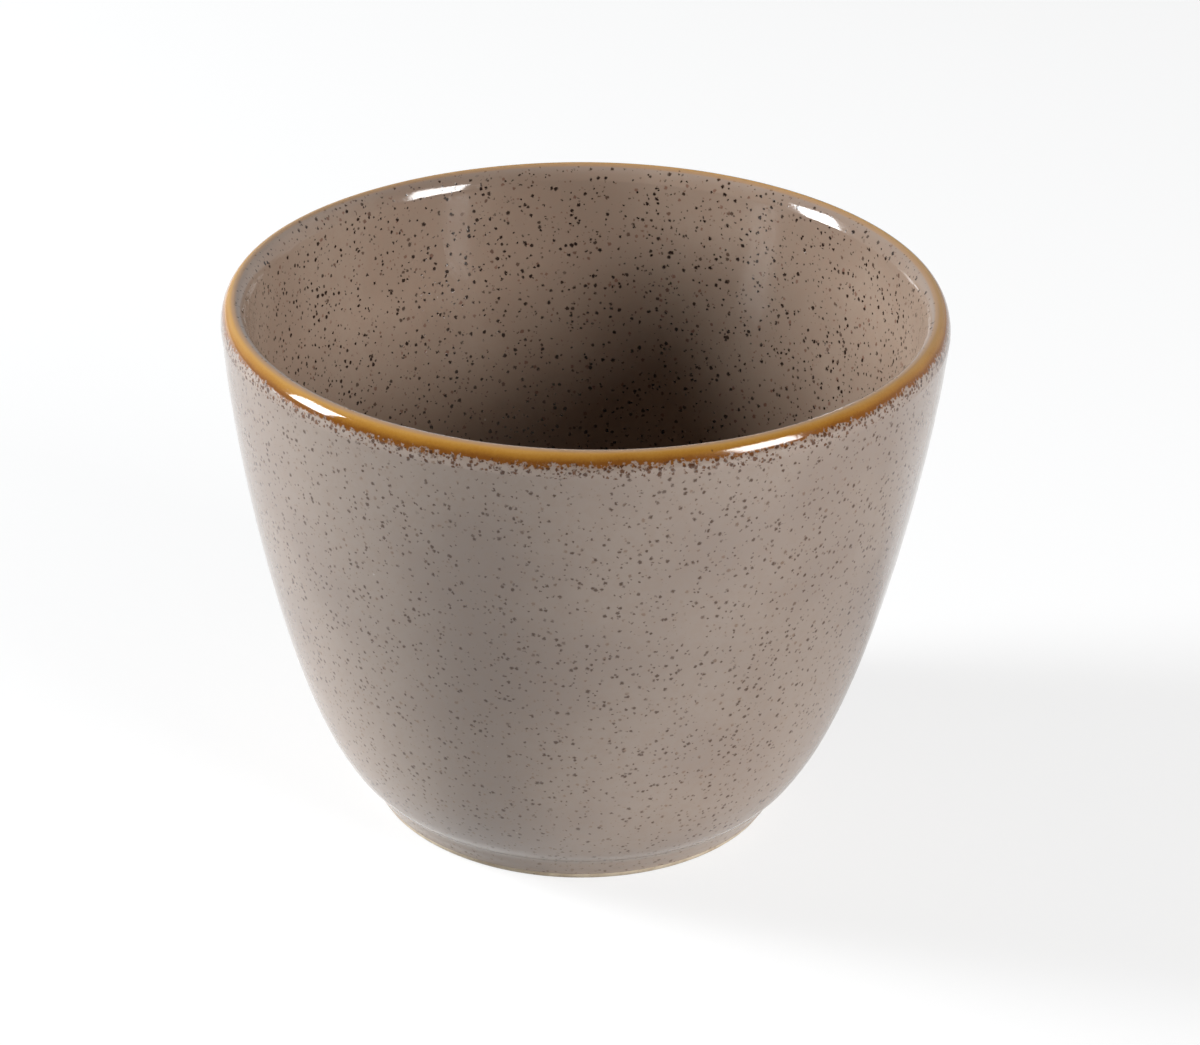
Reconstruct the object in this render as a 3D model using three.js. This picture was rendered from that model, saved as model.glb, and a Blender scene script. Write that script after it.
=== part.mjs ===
// A handleless stoneware cup: a turned clay body on a foot ring, and the coats of glaze fired onto it.
// Millimetres, +Z up, with the origin on the table under the cup's axis.
import * as THREE from 'three';

// Finished sizes of the outside, over the glaze
const HEIGHT = 69.5;
const RIM_DIAMETER = 91;
const FOOT_DIAMETER = 53.8;
const FOOT_RING_WIDTH = 5.6;
const FOOT_WALL = 2;
const FOOT_FILLET = 3;
const FOOT_EDGE = 0.7;
const RECESS_DEPTH = 3;
const RECESS_FILLET = 1;

// The belly leaves the foot and meets the rim at these slopes, in degrees, and holds them for these lengths
const BELLY_START_SLOPE = 27.7;
const BELLY_START_PULL = 8.5;
const BELLY_END_SLOPE = 85.8;
const BELLY_END_PULL = 20;

// The rim rolls over from its outer shoulder to a drinking lip, which meets the wall at a soft edge
const SHOULDER_WIDTH = 1.6;
const SHOULDER_DROP = 3;
const LIP_WIDTH = 1.9;
const LIP_DROP = 2.2;
const LIP_SLOPE = 70;
const LIP_CREST_PULL = 0.7;
const LIP_EDGE_PULL = 1.4;

// The wall thickens from the rim down to the well
const WALL_LOW = 4.6;
const BASE_THICKNESS = 5;

// A coat of glaze, the bond under it, the seam between two coats, and the bare clay above the foot's edge
const GLAZE = 0.4;
const BOND = 0.02;
const SEAM = 0.02;
const BARE_BAND = 0.25;

// Facets round the axis and along each curve of the section
const SEGMENTS = 48;
const EDGE_STEPS = 2;
const FILLET_STEPS = 3;
const BELLY_STEPS = 11;
const SHOULDER_STEPS = 6;
const LIP_STEPS = 4;
const WELL_STEPS = 6;
const WELL_STARTS_AT_STEP = 3;

const skin = GLAZE + BOND;
const rimRadius = RIM_DIAMETER / 2;
const footRadius = FOOT_DIAMETER / 2;
const crestRadius = rimRadius - SHOULDER_WIDTH;
const recessRadius = footRadius - FOOT_RING_WIDTH;
const glazeLine = FOOT_EDGE + BARE_BAND;
const wellFloor = RECESS_DEPTH + BASE_THICKNESS;
const quarterTurn = Math.PI / 2;

const at = (radius, height) => new THREE.Vector2(radius, height);
const along = (degrees, length) => {
  const angle = THREE.MathUtils.degToRad(degrees);
  return at(Math.cos(angle) * length, Math.sin(angle) * length);
};

// The unit vector to the left of the way from one point to the next, which is into the clay
function leftOf(from, to) {
  const way = to.clone().sub(from).normalize();
  return at(-way.y, way.x);
}

// An outline moved sideways into the clay, with mitred corners and with its ends kept on the axis
function inset(outline, depth) {
  const last = outline.length - 1;
  return outline.map((here, i) => {
    const arriving = i > 0 ? leftOf(outline[i - 1], here) : leftOf(here, outline[1]);
    const leaving = i < last ? leftOf(here, outline[i + 1]) : arriving;
    const share = depth / (1 + arriving.dot(leaving));
    const moved = here.clone().addScaledVector(arriving.add(leaving), share);
    return here.x === 0 ? at(0, moved.y) : moved;
  });
}

// The belly: a curve from the foot's fillet up to the rim
function bellyCurve(filletEnd) {
  const rimStart = at(rimRadius, HEIGHT - SHOULDER_DROP);
  const footHandle = filletEnd.clone().add(along(BELLY_START_SLOPE, BELLY_START_PULL));
  const rimHandle = rimStart.clone().sub(along(BELLY_END_SLOPE, BELLY_END_PULL));
  return new THREE.CubicBezierCurve(filletEnd, footHandle, rimHandle, rimStart);
}

// The drinking lip: a curve from the rim's crest down to the edge where the inner wall begins
function lipCurve() {
  const crest = at(crestRadius, HEIGHT);
  const lipEdge = at(crestRadius - LIP_WIDTH, HEIGHT - LIP_DROP);
  const crestHandle = at(crestRadius - LIP_CREST_PULL, HEIGHT);
  const edgeHandle = lipEdge.clone().add(along(LIP_SLOPE, LIP_EDGE_PULL));
  return new THREE.CubicBezierCurve(crest, crestHandle, edgeHandle, lipEdge);
}

// The inside follows the belly at the wall's thickness, and then runs out flat over the well's floor
function insideOutline(belly) {
  const wallTop = SHOULDER_WIDTH + LIP_WIDTH;
  const wall = [];
  for (let step = BELLY_STEPS - 1; step >= WELL_STARTS_AT_STEP; step -= 1) {
    const share = step / BELLY_STEPS;
    const thickness = THREE.MathUtils.lerp(WALL_LOW, wallTop, share);
    const slope = belly.getTangent(share);
    wall.push(belly.getPoint(share).add(at(-slope.y, slope.x).multiplyScalar(thickness)));
  }
  const wellEdge = wall.at(-1);
  const wellSlope = belly.getTangent(WELL_STARTS_AT_STEP / BELLY_STEPS);
  const wellCorner = wellEdge.x - (wellEdge.y - wellFloor) * wellSlope.x / wellSlope.y;
  const well = new THREE.QuadraticBezierCurve(wellEdge, at(wellCorner, wellFloor), at(0, wellFloor));
  return [...wall, ...well.getPoints(WELL_STEPS).slice(1)];
}

// The finished surface from the glaze line on the foot, over the rim and down to the middle of the well
function finishedOutline() {
  const filletEndAngle = quarterTurn + THREE.MathUtils.degToRad(BELLY_START_SLOPE);
  const fillet = new THREE.EllipseCurve(
    footRadius + FOOT_FILLET, FOOT_WALL, FOOT_FILLET, FOOT_FILLET, Math.PI, filletEndAngle, true);
  const belly = bellyCurve(fillet.getPoint(1));
  const shoulder = new THREE.EllipseCurve(
    crestRadius, HEIGHT - SHOULDER_DROP, SHOULDER_WIDTH, SHOULDER_DROP, 0, quarterTurn);
  const lip = lipCurve();
  const outside = [
    at(footRadius, glazeLine),
    ...fillet.getPoints(FILLET_STEPS),
    ...belly.getPoints(BELLY_STEPS).slice(1),
  ];
  const rim = shoulder.getPoints(SHOULDER_STEPS).slice(1);
  const inside = [...lip.getPoints(LIP_STEPS).slice(1), ...insideOutline(belly)];
  const rimStart = outside.length - 1;
  const crest = rimStart + rim.length;
  return { points: [...outside, ...rim, ...inside], rimStart, crest };
}

// The finished surface of the recess under the base, from the axis to the glaze line inside the foot ring
function recessOutline() {
  const fillet = new THREE.EllipseCurve(
    recessRadius - RECESS_FILLET, RECESS_DEPTH - RECESS_FILLET,
    RECESS_FILLET, RECESS_FILLET, quarterTurn, 0, true);
  return [at(0, RECESS_DEPTH), ...fillet.getPoints(FILLET_STEPS), at(recessRadius, glazeLine)];
}

// The bare underside of the foot ring, with a rounded edge on each side of the flat that it stands on
function footRingOutline() {
  const innerRadius = recessRadius + skin;
  const outerRadius = footRadius - skin;
  const innerEdge = new THREE.EllipseCurve(
    innerRadius + FOOT_EDGE, FOOT_EDGE, FOOT_EDGE, FOOT_EDGE, Math.PI, 3 * quarterTurn);
  const outerEdge = new THREE.EllipseCurve(
    outerRadius - FOOT_EDGE, FOOT_EDGE, FOOT_EDGE, FOOT_EDGE, 3 * quarterTurn, 4 * quarterTurn);
  return [...innerEdge.getPoints(EDGE_STEPS), ...outerEdge.getPoints(EDGE_STEPS)];
}

// A stretch of an outline with its open ends drawn back by half a seam
function shortened(outline) {
  const stretch = outline.map((point) => point.clone());
  const drawBack = (end, neighbour) => {
    if (end.x > 0) {
      end.add(neighbour.clone().sub(end).setLength(SEAM / 2));
    }
  };
  drawBack(stretch[0], outline[1]);
  drawBack(stretch.at(-1), outline.at(-2));
  return stretch;
}

// The section of one coat: its finished surface and its underside, closed on itself or at the axis
function coatSection(surface) {
  const top = shortened(surface.finished);
  const underside = shortened(surface.seat).reverse();
  if (top.at(-1).x === 0) {
    return [...underside, ...top];
  }
  if (top[0].x === 0) {
    return [...top, ...underside];
  }
  return [...top, ...underside, top[0]];
}

// A section turned round the upright axis
function turned(name, section, material) {
  const geometry = new THREE.LatheGeometry(section, SEGMENTS);
  geometry.rotateX(quarterTurn);
  const mesh = new THREE.Mesh(geometry, material);
  mesh.name = name;
  return mesh;
}

const bareClay = new THREE.MeshStandardMaterial({ color: 0xc9b497, roughness: 0.85, metalness: 0 });
const greyGlaze = new THREE.MeshStandardMaterial({ color: 0x93887c, roughness: 0.3, metalness: 0 });
const amberGlaze = new THREE.MeshStandardMaterial({ color: 0xa06d2a, roughness: 0.22, metalness: 0 });

const finished = finishedOutline();
const seat = inset(finished.points, GLAZE);
const recess = recessOutline();
const stretchOf = (from, to) => ({
  finished: finished.points.slice(from, to),
  seat: seat.slice(from, to),
});

const claySection = [
  ...inset(recess, skin),
  ...footRingOutline(),
  ...inset(finished.points, skin),
];
const outerStretch = stretchOf(0, finished.rimStart + 1);
const rimStretch = stretchOf(finished.rimStart, finished.crest + 1);
const innerStretch = stretchOf(finished.crest);
const baseStretch = { finished: recess, seat: inset(recess, GLAZE) };

const cup = new THREE.Group();
cup.add(turned('clay_body', claySection, bareClay));
cup.add(turned('outer_glaze', coatSection(outerStretch), greyGlaze));
cup.add(turned('rim_glaze', coatSection(rimStretch), amberGlaze));
cup.add(turned('inner_glaze', coatSection(innerStretch), greyGlaze));
cup.add(turned('base_glaze', coatSection(baseStretch), greyGlaze));

export default cup;
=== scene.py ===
# %% [markdown]
# # A speckled stoneware cup
# The imported solids come in first and stay where they are. Everything made below is in metres, in the same
# place as the solids, so nothing has to be fitted afterwards. The rim coat's box gives the cup's height and
# the rim's radius.

# %% Load the solids
import math

import bmesh
import bpy
from mathutils import Color, Matrix, Vector
from mathutils.geometry import interpolate_bezier


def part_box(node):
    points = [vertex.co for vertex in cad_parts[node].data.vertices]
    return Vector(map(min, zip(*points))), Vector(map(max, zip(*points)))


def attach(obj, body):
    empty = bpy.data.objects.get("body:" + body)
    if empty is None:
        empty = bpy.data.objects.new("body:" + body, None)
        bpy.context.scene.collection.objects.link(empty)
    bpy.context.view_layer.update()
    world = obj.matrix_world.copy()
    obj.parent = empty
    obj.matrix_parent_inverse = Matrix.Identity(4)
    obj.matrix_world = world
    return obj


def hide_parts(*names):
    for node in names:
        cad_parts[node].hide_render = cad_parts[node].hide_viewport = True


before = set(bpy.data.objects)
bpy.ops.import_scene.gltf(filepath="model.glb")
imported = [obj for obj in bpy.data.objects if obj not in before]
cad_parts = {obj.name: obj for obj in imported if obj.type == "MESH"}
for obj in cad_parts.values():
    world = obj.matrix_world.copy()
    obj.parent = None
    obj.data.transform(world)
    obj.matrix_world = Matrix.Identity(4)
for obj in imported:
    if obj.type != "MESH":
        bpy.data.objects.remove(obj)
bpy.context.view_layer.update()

MM = 0.001
rim_low, rim_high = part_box("rim_glaze")
height = rim_high.z
rim_radius = rim_high.x
rim_depth = rim_high.z - rim_low.z
print("cup", round(height / MM, 2), "mm high,", round(2 * rim_radius / MM, 2), "mm across the rim")
print("rim coat", round(rim_depth / MM, 2), "mm deep")

# %% [markdown]
# ## The camera
# A long lens looks down on the cup from the front, turned a touch about its own axis, as a hand-held
# product shot often is. The camera's three axes are written out as a matrix, because a roll is easier
# to read there than in Euler angles.

# %% Camera
CAMERA_DISTANCE = 480.5 * MM
CAMERA_ELEVATION = math.radians(27.46)
CAMERA_ROLL = math.radians(1.61)
CAMERA_AIM = Vector((2.47 * MM, 0.0, 37.45 * MM))
CAMERA_NEAREST = 10 * MM
CAMERA_LENS = 112.0
SENSOR_WIDTH = 36.0


def make_camera():
    back = Vector((0.0, -math.cos(CAMERA_ELEVATION), math.sin(CAMERA_ELEVATION)))
    level_right = Vector((1.0, 0.0, 0.0))
    level_up = back.cross(level_right)
    right = level_right * math.cos(CAMERA_ROLL) + level_up * math.sin(CAMERA_ROLL)
    up = back.cross(right)
    camera = bpy.data.objects.new("camera", bpy.data.cameras.new("camera"))
    camera.data.sensor_width = SENSOR_WIDTH
    camera.data.lens = CAMERA_LENS
    camera.data.clip_start = CAMERA_NEAREST
    turn = Matrix((right, up, back)).transposed().to_4x4()
    camera.matrix_world = Matrix.Translation(CAMERA_AIM + back * CAMERA_DISTANCE) @ turn
    bpy.context.collection.objects.link(camera)
    bpy.context.scene.camera = camera
    return camera


camera = make_camera()
print("camera at", [round(v / MM, 1) for v in camera.matrix_world.translation], "mm")

# %% [markdown]
# ## Small helpers for node trees
# A material here is a handful of textures that are mixed by plain arithmetic. These helpers add one
# node each and hand back its output, so a recipe reads from top to bottom. The Mix node lists its
# sockets for plain numbers and vectors first, so its colour sockets are picked by their places.

# %% Node helpers
MIX_SHARE = 0
MIX_FIRST = 6
MIX_SECOND = 7
MIX_RESULT = 2
NOISE_MIDDLE = 0.5


def add_node(tree, kind, values=None, **settings):
    node = tree.nodes.new(kind)
    for name, value in settings.items():
        setattr(node, name, value)
    for name, value in (values or {}).items():
        if isinstance(value, bpy.types.NodeSocket):
            tree.links.new(value, node.inputs[name])
        else:
            node.inputs[name].default_value = value
    return node


def arithmetic(tree, operation, first, second=0.0):
    return add_node(tree, "ShaderNodeMath", {0: first, 1: second}, operation=operation).outputs[0]


def ramp(tree, value, start, end, low=0.0, high=1.0):
    """A soft step: low before start, high after end, smooth between them."""
    values = {"Value": value, "From Min": start, "From Max": end, "To Min": low, "To Max": high}
    node = add_node(tree, "ShaderNodeMapRange", values, interpolation_type="SMOOTHSTEP", clamp=True)
    return node.outputs["Result"]


def mix_colour(tree, share, first, second, blend_type="MIX"):
    values = {MIX_SHARE: share, MIX_FIRST: first, MIX_SECOND: second}
    settings = {"data_type": "RGBA", "blend_type": blend_type, "clamp_factor": True}
    return add_node(tree, "ShaderNodeMix", values, **settings).outputs[MIX_RESULT]


def noise(tree, position, grain, detail=2.0, roughness=0.5):
    """Cloudy noise whose blotches are about as wide as grain."""
    values = {"Vector": position, "Scale": 1.0 / grain, "Detail": detail, "Roughness": roughness}
    return add_node(tree, "ShaderNodeTexNoise", values).outputs[0]


def centred(tree, value, spread):
    """A noise value moved to lie about zero and spread out."""
    return arithmetic(tree, "MULTIPLY", arithmetic(tree, "SUBTRACT", value, NOISE_MIDDLE), spread)


def height_of(tree, position):
    return add_node(tree, "ShaderNodeSeparateXYZ", {0: position}).outputs["Z"]


def paint(red, green, blue):
    """A colour as a paint chart writes it, 0 to 255, turned into the linear light that nodes use."""
    chart = Color((red / 255, green / 255, blue / 255))
    return (*chart.from_srgb_to_scene_linear(), 1.0)


def new_finish(name):
    material = bpy.data.materials.new(name)
    material.use_nodes = True
    tree = material.node_tree
    tree.nodes.clear()
    output = add_node(tree, "ShaderNodeOutputMaterial")
    shader = add_node(tree, "ShaderNodeBsdfPrincipled")
    tree.links.new(shader.outputs[0], output.inputs["Surface"])
    position = add_node(tree, "ShaderNodeTexCoord").outputs["Object"]
    return material, tree, shader, position


print("node helpers ready")

# %% [markdown]
# ## The table and the room
# The cup stands on a plain table in a dim studio. To the camera, table and room are white, but the
# light that they throw on the cup is kept low, or it would wash out the cup's shape. The Light Path
# node tells the two apart, because it knows what kind of ray asks. In reflections the table is a pale
# grey with the cup's shadow on it. The room behind the cup is a white wall there, which lays a pale
# veil on the rim, and the side where the photographer stands is dark.

# %% White table, dim room
WHITE = (1.0, 1.0, 1.0, 1.0)
ROOM_SEEN = 1.0
WALL_MIRRORED = 0.60
DARK_MIRRORED = 0.08
WALL_STARTS = -0.2
WALL_FULL = 0.6
ROOM_GLOW = 0.015
TABLE_HALF = 3.0
TABLE_BOUNCE = paint(150, 149, 148)
TABLE_ROUGHNESS = 0.9
TABLE_WHITE_SEEN = 0.75
TABLE_WHITE_MIRRORED = 0.36


def by_ray(tree, seen, mirrored, otherwise):
    """One value for rays from the camera, one for mirror images and glass, and one for plain light."""
    path = add_node(tree, "ShaderNodeLightPath")
    glossy, through = path.outputs["Is Glossy Ray"], path.outputs["Is Transmission Ray"]
    value = ramp(tree, arithmetic(tree, "MAXIMUM", glossy, through), 0.0, 1.0, otherwise, mirrored)
    return ramp(tree, path.outputs["Is Camera Ray"], 0.0, 1.0, value, seen)


def make_room():
    world = bpy.data.worlds.new("dim_studio")
    world.use_nodes = True
    tree = world.node_tree
    background = tree.nodes["Background"]
    background.inputs["Color"].default_value = WHITE
    heading = add_node(tree, "ShaderNodeTexCoord").outputs["Generated"]
    backwards = add_node(tree, "ShaderNodeSeparateXYZ", {0: heading}).outputs["Y"]
    mirrored = ramp(tree, backwards, WALL_STARTS, WALL_FULL, DARK_MIRRORED, WALL_MIRRORED)
    tree.links.new(by_ray(tree, ROOM_SEEN, mirrored, ROOM_GLOW), background.inputs["Strength"])
    bpy.context.scene.world = world


def make_table():
    work = bmesh.new()
    bmesh.ops.create_grid(work, x_segments=1, y_segments=1, size=TABLE_HALF)
    mesh = bpy.data.meshes.new("table")
    work.to_mesh(mesh)
    work.free()
    table = bpy.data.objects.new("table", mesh)
    bpy.context.collection.objects.link(table)
    material, tree, shader, _ = new_finish("matt_table")
    colour = mix_colour(tree, by_ray(tree, 1.0, 1.0, 0.0), TABLE_BOUNCE, WHITE)
    tree.links.new(colour, shader.inputs["Base Color"])
    shader.inputs["Roughness"].default_value = TABLE_ROUGHNESS
    shader.inputs["Specular IOR Level"].default_value = 0.0
    glow = add_node(tree, "ShaderNodeEmission", {"Color": WHITE, "Strength": 1.0})
    white_share = by_ray(tree, TABLE_WHITE_SEEN, TABLE_WHITE_MIRRORED, 0.0)
    halves = {0: white_share, 1: shader.outputs[0], 2: glow.outputs[0]}
    blend = add_node(tree, "ShaderNodeMixShader", halves)
    tree.links.new(blend.outputs[0], tree.nodes["Material Output"].inputs["Surface"])
    mesh.materials.append(material)


make_room()
make_table()
bpy.context.scene.view_settings.view_transform = "Standard"
print("room glow", ROOM_GLOW, "and table", 2 * TABLE_HALF, "m square")

# %% [markdown]
# ## Panels and keys
# The bright crescents on the rim are mirror images of the studio's panels, so their places say where
# the panels stood: one square on the left, one on the right and in front. The shading says where most
# of the light came from, which is a little further back on the left and wider on the right. So each
# side has a panel that only mirror images see and a key that only lights the surfaces. A real lamp does
# both, so this split is a device to match one picture and not a finding about the studio. Between the
# two keys the front of the cup falls into a soft vertical shade.

# %% Panels and keys
PANEL_AWAY = 0.9
COOL = (0.97, 1.0, 1.02)
NEUTRAL = (1.0, 1.0, 1.0)
PANELS = {
    "left_panel": {"towards": (-0.931, -0.018, 0.35), "size": (0.25, 0.36), "power": 8.0, "tint": COOL},
    "right_panel": {"towards": (0.76, -0.50, 0.41), "size": (0.30, 0.33), "power": 8.0, "tint": NEUTRAL},
    "left_key": {"towards": (-0.912, 0.096, 0.399), "size": (0.22, 0.48), "power": 13.8, "tint": COOL},
    "right_key": {"towards": (0.735, -0.575, 0.36), "size": (0.46, 0.26), "power": 7.9, "tint": NEUTRAL},
}


def make_panel(name, towards, size, power, tint):
    lamp = bpy.data.lights.new(name, "AREA")
    lamp.color = tint
    lamp.shape = "RECTANGLE"
    lamp.size, lamp.size_y = size
    lamp.energy = power
    panel = bpy.data.objects.new(name, lamp)
    direction = Vector(towards).normalized()
    panel.location = Vector((0.0, 0.0, height / 2)) + direction * PANEL_AWAY
    panel.rotation_euler = direction.to_track_quat("Z", "Y").to_euler()
    panel.visible_glossy = name.endswith("panel")
    panel.visible_diffuse = name.endswith("key")
    bpy.context.collection.objects.link(panel)


for panel_name, panel_facts in PANELS.items():
    make_panel(panel_name, **panel_facts)
print(len(PANELS), "panels and keys")

# %% [markdown]
# ## From the solid's section to a smooth turned piece
# A potter's cup is a section turned round an axis, so each piece is made the same way here. The
# section is cut out of a copy of the solid: only the vertices on one half plane are kept. It has few
# points, so a smooth curve is drawn through them later, and the curve is spun round the axis.

# %% Section of a solid
TOUCH = 0.002 * MM


def section_points(node):
    """The solid's section on the +X half plane, in order, and whether it closes on itself."""
    work = bmesh.new()
    work.from_mesh(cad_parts[node].data)
    bmesh.ops.remove_doubles(work, verts=work.verts, dist=TOUCH)
    off_plane = [v for v in work.verts if abs(v.co.y) > TOUCH or v.co.x < -TOUCH]
    bmesh.ops.delete(work, geom=off_plane, context="VERTS")
    ends = [v for v in work.verts if len(v.link_edges) == 1]
    here = min(ends or work.verts, key=lambda v: v.co.z)
    points, came_by = [], None
    while here and len(points) < len(work.verts):
        points.append(Vector((max(here.co.x, 0.0), 0.0, here.co.z)))
        onward = [e for e in here.link_edges if e is not came_by]
        came_by = onward[0] if onward else None
        here = came_by.other_vert(here) if came_by else None
    work.free()
    return points, not ends


sections = {node: section_points(node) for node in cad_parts}
for node, (points, closed) in sections.items():
    print(node, len(points), "section points,", "closed" if closed else "axis to axis")

# %% [markdown]
# ## Coats that melt together
# In the kiln the coats run into one another. The solids keep a hair of air between them, so the ends
# that face each other are brought to one place. The curve's heading there is worked out over both
# coats, so that a highlight crosses the seam without a break.

# %% Fused seams
SEAM_REACH = 0.03 * MM
STRAIGHT_RATIO = 4.0
seam_headings = []


def turn_between(before, here, after):
    return (here - before).angle(after - here)


def heading_between(before, here, after):
    """The curve's heading at a point: along a much longer neighbour span, else as on a circle."""
    arriving, leaving = here - before, after - here
    if arriving.length > STRAIGHT_RATIO * leaving.length:
        return arriving.normalized()
    if leaving.length > STRAIGHT_RATIO * arriving.length:
        return leaving.normalized()
    return (arriving.normalized() * leaving.length + leaving.normalized() * arriving.length).normalized()


def neighbours(points, i):
    return points[i - 1], points[(i + 1) % len(points)]


def fuse_seam(first, second):
    for i, here in enumerate(first):
        for j, there in enumerate(second):
            if (here - there).length > SEAM_REACH:
                continue
            here[:] = there[:] = (here + there) / 2
            ways = [(a, b) for a in neighbours(first, i) for b in neighbours(second, j)]
            before, after = min(ways, key=lambda way: turn_between(way[0], here, way[1]))
            seam_headings.append((here, heading_between(before, here, after)))


fuse_seam(sections["outer_glaze"][0], sections["rim_glaze"][0])
fuse_seam(sections["rim_glaze"][0], sections["inner_glaze"][0])
print(len(seam_headings), "seam points fused")

# %% [markdown]
# ## Smooth runs between edges
# The section is cut into runs at its square corners and at the drinking lip's edge, and a Bezier curve
# is drawn through each run. A spline over the whole section would round off the corners and ripple
# beside them. Two edges get a small round of their own: the lip's edge, which catches a thin line of
# light, and the thick lower end of the outer coat.

# %% Smooth runs
SQUARE_TURN = math.radians(60)
STEPS_PER_SPAN = 6
HANDLE_SHARE = 1 / 3
SUPPORT_SHARE = 0.03
SIDEWAYS = Vector((0.0, 1.0, 0.0))
LIP_EDGE_FROM_CREST = Vector((-1.9 * MM, 0.0, -2.2 * MM))
LIP_EDGE_ROUND = 0.30 * MM
COAT_END_ROUND = 0.22 * MM
ROUND_PULL = 0.6
ROUND_STEPS = 7

crest = max(sections["rim_glaze"][0], key=lambda p: p.z).copy()
lip_edge = min(sections["inner_glaze"][0], key=lambda p: (p - crest - LIP_EDGE_FROM_CREST).length)
coat_end = min(sections["outer_glaze"][0], key=lambda p: p.z - p.x)
soft_edges = {
    "inner_glaze": [(lip_edge, LIP_EDGE_ROUND)],
    "outer_glaze": [(coat_end, COAT_END_ROUND)],
}


def runs_of(points, closed, soft):
    """The section cut at its corners, as runs that share their end points."""
    inner = range(len(points)) if closed else range(1, len(points) - 1)
    cuts = []
    for i in inner:
        before, after = neighbours(points, i)
        is_soft = any((points[i] - edge).length < TOUCH for edge, _ in soft)
        if is_soft or turn_between(before, points[i], after) > SQUARE_TURN:
            cuts.append(i)
    if closed:
        points = points[cuts[0]:] + points[:cuts[0] + 1]
        cuts = [c - cuts[0] for c in cuts] + [len(points) - 1]
    else:
        cuts = [0, *cuts, len(points) - 1]
    return [points[a:b + 1] for a, b in zip(cuts, cuts[1:])]


def end_heading(end, chord, inner_heading):
    """At a seam the heading over both coats, and elsewhere the next heading mirrored about the chord."""
    for place, heading in seam_headings:
        if (end - place).length < TOUCH:
            return heading if heading.dot(chord) > 0 else -heading
    return inner_heading.reflect(chord.cross(SIDEWAYS).normalized())


def smooth_run(run):
    """A smooth curve through the run's points, with one extra point close to each end."""
    if len(run) == 2:
        return list(run)
    headings = [heading_between(*run[i - 1:i + 2]) for i in range(1, len(run) - 1)]
    first = end_heading(run[0], run[1] - run[0], headings[0])
    last = end_heading(run[-1], run[-1] - run[-2], headings[-1])
    headings = [first, *headings, last]
    curve = []
    for i in range(len(run) - 1):
        reach = (run[i + 1] - run[i]).length * HANDLE_SHARE
        handle_out = run[i] + headings[i] * reach
        handle_in = run[i + 1] - headings[i + 1] * reach
        curve += interpolate_bezier(run[i], handle_out, handle_in, run[i + 1], STEPS_PER_SPAN + 1)[:-1]
    curve.append(run[-1])
    curve.insert(1, curve[0].lerp(curve[1], SUPPORT_SHARE))
    curve.insert(-1, curve[-1].lerp(curve[-2], SUPPORT_SHARE))
    return curve


def eased(curve, closed, edge, reach):
    """The curve with the points within reach of an edge replaced by a short round."""
    if closed:
        far = max(range(len(curve)), key=lambda i: (curve[i] - edge).length)
        curve = curve[far:] + curve[:far]
    near = [i for i, point in enumerate(curve) if (point - edge).length < reach]
    before, after = curve[near[0] - 1], curve[near[-1] + 1]
    handles = before.lerp(edge, ROUND_PULL), after.lerp(edge, ROUND_PULL)
    rounded = interpolate_bezier(before, *handles, after, ROUND_STEPS)
    return curve[:near[0] - 1] + rounded + curve[near[-1] + 2:]


def smooth_section(node):
    points, closed = sections[node]
    soft = soft_edges.get(node, [])
    curve = []
    for run in runs_of(points, closed, soft):
        curve += [Vector(point) for point in smooth_run(run)[:-1]]
    if not closed:
        curve.append(points[-1])
    for edge, reach in soft:
        curve = eased(curve, closed, edge, reach)
    return curve, closed


print("outer coat drawn with", len(smooth_section("outer_glaze")[0]), "points")

# %% [markdown]
# ## The kiln's mark
# Fired rims are never quite level. This one stands a little higher on the right and dips at the back
# left. The same small warp bends every piece, growing from nothing at the foot, so the coats stay on
# the clay.

# %% Kiln warp
RIM_LEAN = 0.0089
DIP_DEPTH = 0.25 * MM
DIP_TOWARDS = Vector((-0.57, 0.82))
DIP_SHARPNESS = 6.0


def kiln_warp(place):
    rise = place.z / height
    across = Vector((place.x, place.y))
    facing = max(across.normalized().dot(DIP_TOWARDS), 0.0)
    lean = RIM_LEAN * place.x * rise
    dip = DIP_DEPTH * facing ** DIP_SHARPNESS * rise ** 2
    return Vector((place.x, place.y, place.z + lean - dip))


rim_right = Vector((rim_radius, 0.0, height))
print("the rim's right side rises by", round((kiln_warp(rim_right).z - height) / MM, 2), "mm")

# %% [markdown]
# ## Pooled glaze at the foot
# Molten glaze runs down and gathers in the hollow where the belly meets the foot, so there is no sharp
# line there. It could be sculpted by hand. Here the outer coat is pushed out round the middle of the
# hollow by a push that dies away smoothly on all sides, which stays the same at every run.

# %% Pooled glaze
POOL_DEPTH = 0.6 * MM
POOL_REACH = 6.0 * MM
POOL_HEADING = Vector((0.86, 0.0, -0.51))
POOL_FROM_FOOT = Vector((0.5 * MM, 0.0, 3.5 * MM))
POOL_STARTS = 0.9 * MM
POOL_FULL = 3.0 * MM
pool_middle = Vector((coat_end.x, 0.0, 0.0)) + POOL_FROM_FOOT


def soft_step(value, start, end):
    """0 before start and 1 after end, smooth between them."""
    share = min(max((value - start) / (end - start), 0.0), 1.0)
    return share ** 2 * (3.0 - 2.0 * share)


def pooled(place):
    outwards = Vector((place.x, place.y, 0.0))
    gap = math.hypot(outwards.length - pool_middle.x, place.z - pool_middle.z) / POOL_REACH
    push = POOL_DEPTH * max(1.0 - gap ** 2, 0.0) ** 2 * soft_step(place.z, POOL_STARTS, POOL_FULL)
    heading = outwards.normalized() * POOL_HEADING.x + Vector((0.0, 0.0, POOL_HEADING.z))
    return place + heading * push


print("glaze pools round", round(pool_middle.z / MM, 1), "mm above the table")

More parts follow.
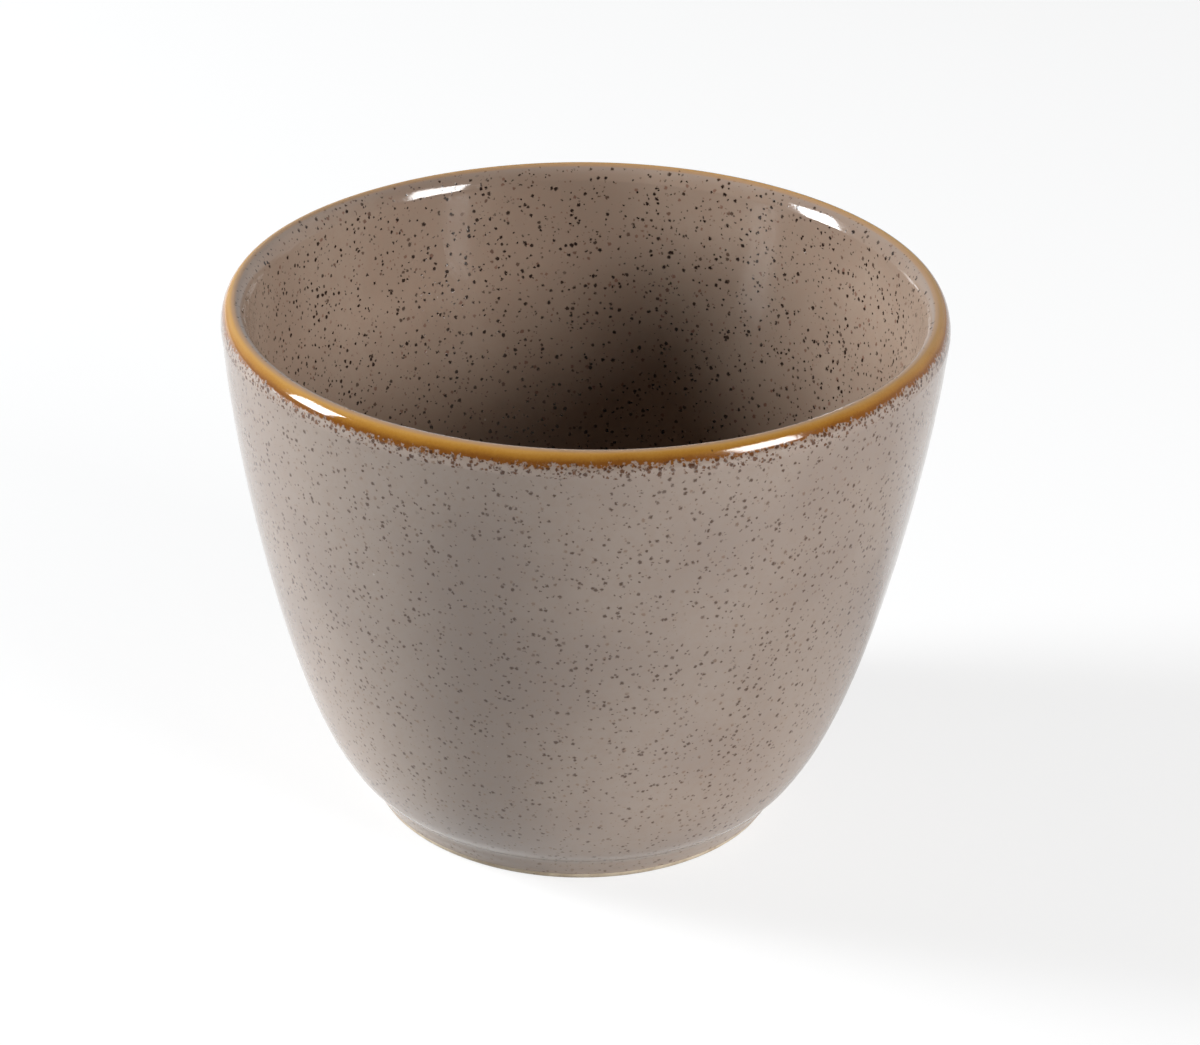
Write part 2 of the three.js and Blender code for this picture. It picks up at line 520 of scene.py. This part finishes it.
# %% [markdown]
# ## Turning the pieces
# Each smooth section is spun round the axis. While the piece is still true, each vertex stores how far
# it lies below the crest, measured along the surface in millimetres, because the amber band follows
# that distance. Only then come the pooled glaze and the warp.

# %% Turned pieces
SPIN_STEPS = 216
MERGE = 0.0002 * MM
SHARP_EDGE = math.radians(50)
PIECE_NODES = {
    "stoneware_body": "clay_body",
    "outside_coat": "outer_glaze",
    "rim_coat": "rim_glaze",
    "inside_coat": "inner_glaze",
    "base_coat": "base_glaze",
}

shoulder_width = rim_radius - crest.x
shoulder_low = max(sections["rim_glaze"][0], key=lambda p: p.x).z
shoulder_drop = crest.z - shoulder_low
shoulder_arc = math.pi / 2 * math.hypot(shoulder_width, shoulder_drop) / math.sqrt(2)


def millimetres_below_crest(place):
    """Along the surface from the crest: positive on the outside, negative on the inside."""
    outwards = math.hypot(place.x, place.y) - crest.x
    down = crest.z - place.z
    if outwards < 0:
        return (outwards - down) / MM
    roll = math.atan2(outwards / shoulder_width, 1.0 - down / shoulder_drop)
    return shoulder_arc * roll / (math.pi / 2) / MM


def spun(curve, closed):
    """The curve turned once round the upright axis, as a bmesh."""
    work = bmesh.new()
    ring = [work.verts.new(point) for point in curve]
    following = ring[1:] + ring[:1] if closed else ring[1:]
    for here, there in zip(ring, following):
        work.edges.new((here, there))
    section = work.verts[:] + work.edges[:]
    bmesh.ops.spin(work, geom=section, cent=(0, 0, 0), axis=(0, 0, 1), dvec=(0, 0, 0),
                   angle=2 * math.pi, steps=SPIN_STEPS, use_merge=True)
    bmesh.ops.remove_doubles(work, verts=work.verts, dist=MERGE)
    bmesh.ops.recalc_face_normals(work, faces=work.faces)
    return work


def turned_piece(name, node):
    work = spun(*smooth_section(node))
    below = work.verts.layers.float.new("below_crest")
    for vert in work.verts:
        vert[below] = millimetres_below_crest(vert.co)
        if node == "outer_glaze":
            vert.co = pooled(vert.co)
        vert.co = kiln_warp(vert.co)
    for face in work.faces:
        face.smooth = True
    for edge in work.edges:
        edge.smooth = edge.calc_face_angle(0.0) < SHARP_EDGE
    mesh = bpy.data.meshes.new(name)
    work.to_mesh(mesh)
    work.free()
    piece = bpy.data.objects.new(name, mesh)
    bpy.context.collection.objects.link(piece)
    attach(piece, "root")
    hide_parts(node)
    return piece


pieces = {name: turned_piece(name, node) for name, node in PIECE_NODES.items()}
for name, piece in pieces.items():
    print(name, len(piece.data.polygons), "faces")

# %% [markdown]
# ## Iron specks
# Grains of iron in the clay melt up through the glaze and leave dark specks. They could be modelled one
# by one, but there are thousands. A 3-D Voronoi texture scatters one point in each cell of a grid, and
# a speck is drawn wherever the surface passes close to such a point, so specks come out in all sizes.
# Each speck has its own random values, which say whether it is there, how large and how dark it is.

# %% Specks
SPECK_FADE = 0.06
SMALLEST_SPECK = 0.65
LARGEST_SPECK = 1.35
CHAIN_CORE = 0.02
CHAIN_EDGE = 0.11


def wobbled(tree, position, grain, amount):
    """Places shifted a little this way and that, so that round shapes become uneven."""
    cloud = add_node(tree, "ShaderNodeTexNoise", {"Vector": position, "Scale": 1.0 / grain})
    values = {0: cloud.outputs["Color"], 1: (amount, amount, amount), 2: position}
    return add_node(tree, "ShaderNodeVectorMath", values, operation="MULTIPLY_ADD").outputs[0]


def specks(tree, position, spacing, radius, share, core):
    """How strongly a speck shows at each place, and the random values that each speck has to itself."""
    cells = add_node(tree, "ShaderNodeTexVoronoi", {"Vector": position, "Scale": 1.0 / spacing})
    dice = add_node(tree, "ShaderNodeSeparateColor", {"Color": cells.outputs["Color"]}).outputs
    there = ramp(tree, arithmetic(tree, "SUBTRACT", share, dice[0]), 0.0, SPECK_FADE)
    mostly_small = arithmetic(tree, "MULTIPLY", dice[1], dice[1])
    smallest, largest = SMALLEST_SPECK * radius / spacing, LARGEST_SPECK * radius / spacing
    reach = ramp(tree, mostly_small, 0.0, 1.0, smallest, largest)
    inner = arithmetic(tree, "MULTIPLY", reach, core)
    spot = ramp(tree, cells.outputs["Distance"], inner, reach, 1.0, 0.0)
    return arithmetic(tree, "MULTIPLY", there, spot), dice


def chains(tree, position, grain):
    """1 along wandering lines and 0 between them: specks gather there in small chains."""
    cloud = noise(tree, position, grain, 1.0)
    off_line = arithmetic(tree, "ABSOLUTE", arithmetic(tree, "SUBTRACT", cloud, NOISE_MIDDLE))
    return ramp(tree, off_line, CHAIN_CORE, CHAIN_EDGE, 1.0, 0.0)


def spotted(tree, colour, spot, strength, spot_colour):
    """A colour with spots of another laid over it at some strength."""
    return mix_colour(tree, arithmetic(tree, "MULTIPLY", spot, strength), colour, spot_colour)


print("speck helpers ready")

# %% [markdown]
# ## The grey glaze
# One recipe makes the glaze on both sides, with its own tones for each: the outside is a pale warm grey
# with soft brown specks, the inside is browner and its specks are smaller, sharper and nearly black.
# Broad clouds show where the coat lies thicker, fine mottling keeps it from looking sprayed, and the
# specks sink in a little.

# %% Grey glaze
OUTSIDE_TONES = {
    "deep": paint(151, 135, 124), "light": paint(158, 142, 130), "warm": paint(152, 132, 118),
    "iron": paint(72, 45, 26), "rust": paint(116, 82, 54), "pin": paint(196, 184, 172),
    "radius": 0.28 * MM, "core": 0.35, "strength": 0.92, "few": 0.62, "many": 1.0,
}
INSIDE_TONES = {
    "deep": paint(142, 122, 107), "light": paint(150, 131, 116), "warm": paint(145, 121, 105),
    "iron": paint(36, 21, 14), "rust": paint(98, 52, 38), "pin": paint(190, 176, 164),
    "radius": 0.26 * MM, "core": 0.60, "strength": 1.0, "few": 0.68, "many": 1.0,
}
CLOUD_GRAIN = 17 * MM
CLOUD_EDGES = (0.36, 0.64)
MOTTLE_GRAIN = 1.3 * MM
MOTTLE_NOISE = {"detail": 4.0, "roughness": 0.65}
MOTTLE_EDGES = (0.40, 0.66)
MOTTLE_MOST = 0.35
CHAIN_GRAIN = 3.4 * MM
SPECK_SPACING = 0.71 * MM
SPECK_SINK = 0.5
FAINT_IRON = 0.6
FAINT_DICE = (0.0, 0.5)
RUSTY_DICE = (0.05, 0.30)
DUST = {"spacing": 0.62 * MM, "radius": 0.13 * MM, "share": 0.34, "core": 0.3}
DUST_STRENGTH = 0.55
PINS = {"spacing": 3.5 * MM, "radius": 0.18 * MM, "share": 0.2, "core": 0.4}
PIN_STRENGTH = 0.7
PEEL_GRAIN = 1.8 * MM
WOBBLE_GRAIN = 0.28 * MM
WOBBLE = 0.42 * MM


def speckled_glaze(tree, position, tones):
    """The glaze's colour and the height of its surface, 0 to 1."""
    cloud = ramp(tree, noise(tree, position, CLOUD_GRAIN), *CLOUD_EDGES)
    colour = mix_colour(tree, cloud, tones["deep"], tones["light"])
    mottle = ramp(tree, noise(tree, position, MOTTLE_GRAIN, **MOTTLE_NOISE), *MOTTLE_EDGES, 0.0, MOTTLE_MOST)
    colour = mix_colour(tree, mottle, colour, tones["warm"])
    uneven = wobbled(tree, position, WOBBLE_GRAIN, WOBBLE)
    dust, _ = specks(tree, uneven, **DUST)
    colour = spotted(tree, colour, dust, DUST_STRENGTH, tones["rust"])
    crowd = ramp(tree, chains(tree, position, CHAIN_GRAIN), 0.0, 1.0, tones["few"], tones["many"])
    iron, iron_dice = specks(tree, uneven, SPECK_SPACING, tones["radius"], crowd, tones["core"])
    faintest = FAINT_IRON * tones["strength"]
    darkness = ramp(tree, iron_dice[2], *FAINT_DICE, faintest, tones["strength"])
    rusty = ramp(tree, iron_dice[2], *RUSTY_DICE, 1.0, 0.0)
    iron_colour = mix_colour(tree, rusty, tones["iron"], tones["rust"])
    colour = spotted(tree, colour, iron, darkness, iron_colour)
    pins, _ = specks(tree, uneven, **PINS)
    colour = spotted(tree, colour, pins, PIN_STRENGTH, tones["pin"])
    peel = noise(tree, position, PEEL_GRAIN)
    surface = arithmetic(tree, "SUBTRACT", peel, arithmetic(tree, "MULTIPLY", iron, SPECK_SINK))
    return colour, surface


print("glaze recipe ready")

# %% [markdown]
# ## The outside
# A finish joins a recipe to the shader: its colour, an uneven gloss and a fine relief. On the outside the
# colour is multiplied brighter towards the foot as painted light from the table below. Near the foot it is
# also mixed paler, partly because the coat runs thin there and partly as painted light in the shaded hollow.
# The brightening is multiplied and not painted over, so the specks stay on the foot.

# %% Outside finish
GLOSS_GRAIN = 6 * MM
GLOSS_DETAIL = 3.0
GLOSS_EDGES = (0.3, 0.7)
GLAZE_GLOSS = (0.06, 0.12)
GLAZE_RELIEF = 0.006 * MM
# Painted light from the table below: the colour is multiplied brighter towards the foot.
PAINTED_BOUNCE_FADE = (4.0 * MM, 42.0 * MM)
PAINTED_BOUNCE_GAIN = (1.30, 1.29, 1.28, 1.0)
# Paler near the foot: partly the thin coat there, partly painted light in the shaded hollow.
FOOT_THIN_COAT_AND_LIGHT_FADE = (2.5 * MM, 8.0 * MM)
FOOT_THIN_COAT_AND_LIGHT = paint(192, 176, 162)
FOOT_THIN_COAT_AND_LIGHT_MOST = 0.25


def fire_finish(tree, shader, position, colour, surface, gloss, relief):
    tree.links.new(colour, shader.inputs["Base Color"])
    sheen = ramp(tree, noise(tree, position, GLOSS_GRAIN, GLOSS_DETAIL), *GLOSS_EDGES, *gloss)
    tree.links.new(sheen, shader.inputs["Roughness"])
    bump = add_node(tree, "ShaderNodeBump", {"Height": surface, "Strength": 1.0, "Distance": relief})
    tree.links.new(bump.outputs[0], shader.inputs["Normal"])


def make_outside_finish():
    material, tree, shader, position = new_finish("outside_glaze")
    colour, surface = speckled_glaze(tree, position, OUTSIDE_TONES)
    up = height_of(tree, position)
    # Painted light from the table below: brighter towards the foot, multiplied so that the specks stay.
    colour = mix_colour(tree, ramp(tree, up, *PAINTED_BOUNCE_FADE, 1.0, 0.0), colour, PAINTED_BOUNCE_GAIN, "MULTIPLY")
    # Mixed paler near the foot: partly the thin coat, partly painted light in the shaded hollow.
    colour = mix_colour(tree, ramp(tree, up, *FOOT_THIN_COAT_AND_LIGHT_FADE, FOOT_THIN_COAT_AND_LIGHT_MOST, 0.0), colour, FOOT_THIN_COAT_AND_LIGHT)
    fire_finish(tree, shader, position, colour, surface, GLAZE_GLOSS, GLAZE_RELIEF)
    return material


outside_finish = make_outside_finish()
print(outside_finish.name, "has", len(outside_finish.node_tree.nodes), "nodes")

# %% [markdown]
# ## The amber rim
# Over the rim the glaze runs thin and breaks to amber: peach at the crest, then honey, gold and, where the
# amber stops, brown. The crest's peach is partly the amber's own pale edge and partly a painted reflection
# of the white wall behind the cup. Below that edge lies a belt of loose brown dots. The finish reads the
# distance below the crest and compares it with a reach that slow waves push up and down. The band sits a
# little askew, as on a cup that was dipped at a slant. Distances in this cell's fades are in millimetres.

# %% Amber rim
# The crest's pale peach: partly the amber's own pale edge, partly a painted reflection of the white wall.
PEACH_AND_PAINTED_REFLECTION = paint(164, 129, 94)
HONEY = paint(180, 134, 66)
GOLD = paint(164, 114, 42)
BROWN = paint(124, 74, 24)
DOT_BROWN = paint(100, 60, 30)
DOT_DARK = paint(70, 42, 24)
BELT_PALE = paint(176, 161, 150)
BELT_PALE_MOST = 0.06
CREST_FADE = (-0.80, -0.20)
HONEY_FADE = (-0.15, 0.50)
GOLD_FADE = (0.60, 1.35)
BROWN_FADE = (1.20, 2.10)
EDGE_FADE = (-0.20, 0.14)
AMBER_REACH = 2.35
TOP_SLANT = Vector((0.20, 0.45, 0.0)) / rim_radius
REACH_SLANT = Vector((-0.20, -0.16, 0.0)) / rim_radius
STREAK_GRAIN = 0.30 * MM
STREAK_NOISE = {"detail": 4.0, "roughness": 0.7}
STREAK_HEIGHT = 0.7
WAVE_GRAIN = 9 * MM
WAVE_HEIGHT = 0.9
RAGGED_GRAIN = 0.56 * MM
RAGGED_NOISE = {"detail": 2.0, "roughness": 0.6}
RAGGED_HEIGHT = 2.2
DOT_SPACING = 0.54 * MM
DOT_RADIUS = 0.33 * MM
DOT_CORE = 0.5
DOT_BELT = 1.65
BELT_FADE = (0.4 * DOT_BELT, DOT_BELT)
RIM_SPECKS = {"spacing": 1.7 * MM, "radius": 0.20 * MM, "share": 0.3, "core": 0.5}
RIM_SPECK_STRENGTH = 0.8


def below_crest(tree):
    return add_node(tree, "ShaderNodeAttribute", attribute_name="below_crest").outputs["Fac"]


def slanted(tree, position, slant):
    """Millimetres that grow across the cup in one direction."""
    values = {0: position, 1: slant}
    return add_node(tree, "ShaderNodeVectorMath", values, operation="DOT_PRODUCT").outputs["Value"]


def amber_tones(tree, position, from_top, depth):
    """Peach, honey, gold and brown from the crest down, with fine streaks. The peach is partly a painted
    reflection.
    """
    streaks = noise(tree, position, STREAK_GRAIN, **STREAK_NOISE)
    depth = arithmetic(tree, "ADD", depth, centred(tree, streaks, STREAK_HEIGHT))
    # Peach at the crest is partly a painted reflection of the white wall behind the cup.
    amber = mix_colour(tree, ramp(tree, from_top, *HONEY_FADE), PEACH_AND_PAINTED_REFLECTION, HONEY)
    amber = mix_colour(tree, ramp(tree, depth, *GOLD_FADE), amber, GOLD)
    return mix_colour(tree, ramp(tree, depth, *BROWN_FADE), amber, BROWN)


def dotted_belt(tree, uneven, past_reach, grey):
    """The grey below the amber's edge: a touch paler, and crossed by dots that thin out downwards."""
    fade = ramp(tree, past_reach, *BELT_FADE, BELT_PALE_MOST, 0.0)
    colour = mix_colour(tree, fade, grey, BELT_PALE)
    share = ramp(tree, past_reach, *BELT_FADE, 1.0, 0.0)
    dots, dot_dice = specks(tree, uneven, DOT_SPACING, DOT_RADIUS, share, DOT_CORE)
    return mix_colour(tree, dots, colour, mix_colour(tree, dot_dice[2], DOT_BROWN, DOT_DARK))


def amber_band(tree, position, grey):
    """The grey glaze's colour with the amber band laid over it."""
    below = below_crest(tree)
    uneven = wobbled(tree, position, WOBBLE_GRAIN, WOBBLE)
    from_top = arithmetic(tree, "ADD", below, slanted(tree, position, TOP_SLANT))
    waves = centred(tree, noise(tree, position, WAVE_GRAIN), WAVE_HEIGHT)
    shift = arithmetic(tree, "ADD", waves, slanted(tree, position, REACH_SLANT))
    past_reach = arithmetic(tree, "SUBTRACT", arithmetic(tree, "SUBTRACT", below, AMBER_REACH), shift)
    amber = amber_tones(tree, position, from_top, arithmetic(tree, "ADD", past_reach, AMBER_REACH))
    ragged = centred(tree, noise(tree, position, RAGGED_GRAIN, **RAGGED_NOISE), RAGGED_HEIGHT)
    past_edge = arithmetic(tree, "ADD", past_reach, ragged)
    belt = dotted_belt(tree, uneven, past_reach, grey)
    colour = mix_colour(tree, ramp(tree, past_edge, *EDGE_FADE), amber, belt)
    iron, _ = specks(tree, uneven, **RIM_SPECKS)
    colour = spotted(tree, colour, iron, RIM_SPECK_STRENGTH, DOT_DARK)
    return mix_colour(tree, ramp(tree, from_top, *CREST_FADE), grey, colour)


def make_rim_finish():
    material, tree, shader, position = new_finish("rim_glaze")
    grey, surface = speckled_glaze(tree, position, OUTSIDE_TONES)
    colour = amber_band(tree, position, grey)
    fire_finish(tree, shader, position, colour, surface, GLAZE_GLOSS, GLAZE_RELIEF)
    return material


rim_finish = make_rim_finish()
print("amber reaches", AMBER_REACH, "mm below the crest")

# %% [markdown]
# ## The inside
# The inside's own tones run out into the outside's along the drinking lip, and towards the well the colour
# is darkened as painted shade, where little light returns. The panels' faint second images lie just below
# the lip, where the solid's own wall doesn't show them. The real wall may thicken faster there, but the
# images are too faint to measure a wall by. So the bump's height leans the shading by a few degrees, set by
# trial until the images fell in place, and the shape stays as it is.

# %% Inside finish
LEAN_TOP = math.radians(4.5)
LEAN_GROWTH = math.radians(0.7) / MM
LEAN_MOST = math.radians(7.5)
LEAN_BEND = (LEAN_MOST - LEAN_TOP) / LEAN_GROWTH
# Painted shade: the inside's colour is darkened towards the well, where little light returns.
WELL_SHADE_FADE = (26 * MM, 48 * MM)
WELL_PAINTED_SHADE = (0.72, 0.67, 0.62, 1.0)
LIP_FADE = (-3.0, -0.5)
LIP_MOST = 0.6


def leaning(tree, up):
    """How far the inner wall's surface stands forward of the solid's, growing below the lip's edge."""
    depth = arithmetic(tree, "MAXIMUM", arithmetic(tree, "SUBTRACT", lip_edge.z, up), 0.0)
    bent = arithmetic(tree, "MINIMUM", depth, LEAN_BEND)
    slope = arithmetic(tree, "ADD", arithmetic(tree, "MULTIPLY", bent, LEAN_GROWTH / 2), LEAN_TOP)
    straight = arithmetic(tree, "MULTIPLY", arithmetic(tree, "SUBTRACT", depth, bent), LEAN_MOST)
    return arithmetic(tree, "ADD", arithmetic(tree, "MULTIPLY", bent, slope), straight)


def make_inside_finish():
    material, tree, shader, position = new_finish("inside_glaze")
    colour, surface = speckled_glaze(tree, position, INSIDE_TONES)
    up = height_of(tree, position)
    # Painted shade: darker towards the well.
    colour = mix_colour(tree, ramp(tree, up, *WELL_SHADE_FADE, 1.0, 0.0), colour, WELL_PAINTED_SHADE, "MULTIPLY")
    lean = arithmetic(tree, "DIVIDE", leaning(tree, up), GLAZE_RELIEF)
    surface = arithmetic(tree, "ADD", surface, lean)
    lip_colour, _ = speckled_glaze(tree, position, OUTSIDE_TONES)
    on_lip = ramp(tree, below_crest(tree), *LIP_FADE, 0.0, LIP_MOST)
    colour = amber_band(tree, position, mix_colour(tree, on_lip, colour, lip_colour))
    fire_finish(tree, shader, position, colour, surface, GLAZE_GLOSS, GLAZE_RELIEF)
    return material


inside_finish = make_inside_finish()
print("the shading leans over the first", round(LEAN_BEND / MM, 1), "mm below the lip's edge")

# %% [markdown]
# ## Bare clay
# The ring that the cup stands on is wiped free of glaze before firing, or the cup would stick to the
# shelf. The clay there is pale buff, dry and slightly gritty.

# %% Bare clay
CLAY = paint(220, 204, 180)
CLAY_DARK = paint(196, 176, 150)
GRIT_COLOUR = paint(92, 72, 56)
PATCH_GRAIN = 2.2 * MM
PATCH_NOISE = {"detail": 4.0, "roughness": 0.6}
PATCH_EDGES = (0.35, 0.68)
GRIT = {"spacing": 0.7 * MM, "radius": 0.14 * MM, "share": 0.5, "core": 0.3}
GRIT_STRENGTH = 0.6
TOOTH_GRAIN = 0.35 * MM
TOOTH_NOISE = {"detail": 5.0, "roughness": 0.7}
CLAY_GLOSS = (0.70, 0.92)
CLAY_RELIEF = 0.03 * MM


def make_clay_finish():
    material, tree, shader, position = new_finish("bare_clay")
    patches = ramp(tree, noise(tree, position, PATCH_GRAIN, **PATCH_NOISE), *PATCH_EDGES)
    colour = mix_colour(tree, patches, CLAY, CLAY_DARK)
    grit, _ = specks(tree, position, **GRIT)
    colour = spotted(tree, colour, grit, GRIT_STRENGTH, GRIT_COLOUR)
    surface = noise(tree, position, TOOTH_GRAIN, **TOOTH_NOISE)
    fire_finish(tree, shader, position, colour, surface, CLAY_GLOSS, CLAY_RELIEF)
    return material


clay_finish = make_clay_finish()
print(clay_finish.name, "has", len(clay_finish.node_tree.nodes), "nodes")

# %% [markdown]
# ## Dressing the pieces
# Each piece gets its finish. The table also lists the name of the material slot that its solid has in the
# record, but the loop doesn't set it. The coat under the base is the outside's glaze, because both are
# dipped together.

# %% Dress the pieces
FINISHES = {
    "stoneware_body": (clay_finish, "bare_clay"),
    "outside_coat": (outside_finish, "grey_glaze"),
    "rim_coat": (rim_finish, "amber_glaze"),
    "inside_coat": (inside_finish, "grey_glaze"),
    "base_coat": (outside_finish, "grey_glaze"),
}
for name, (material, slot_name) in FINISHES.items():
    pieces[name].data.materials.append(material)
    print(name, "wears", material.name)
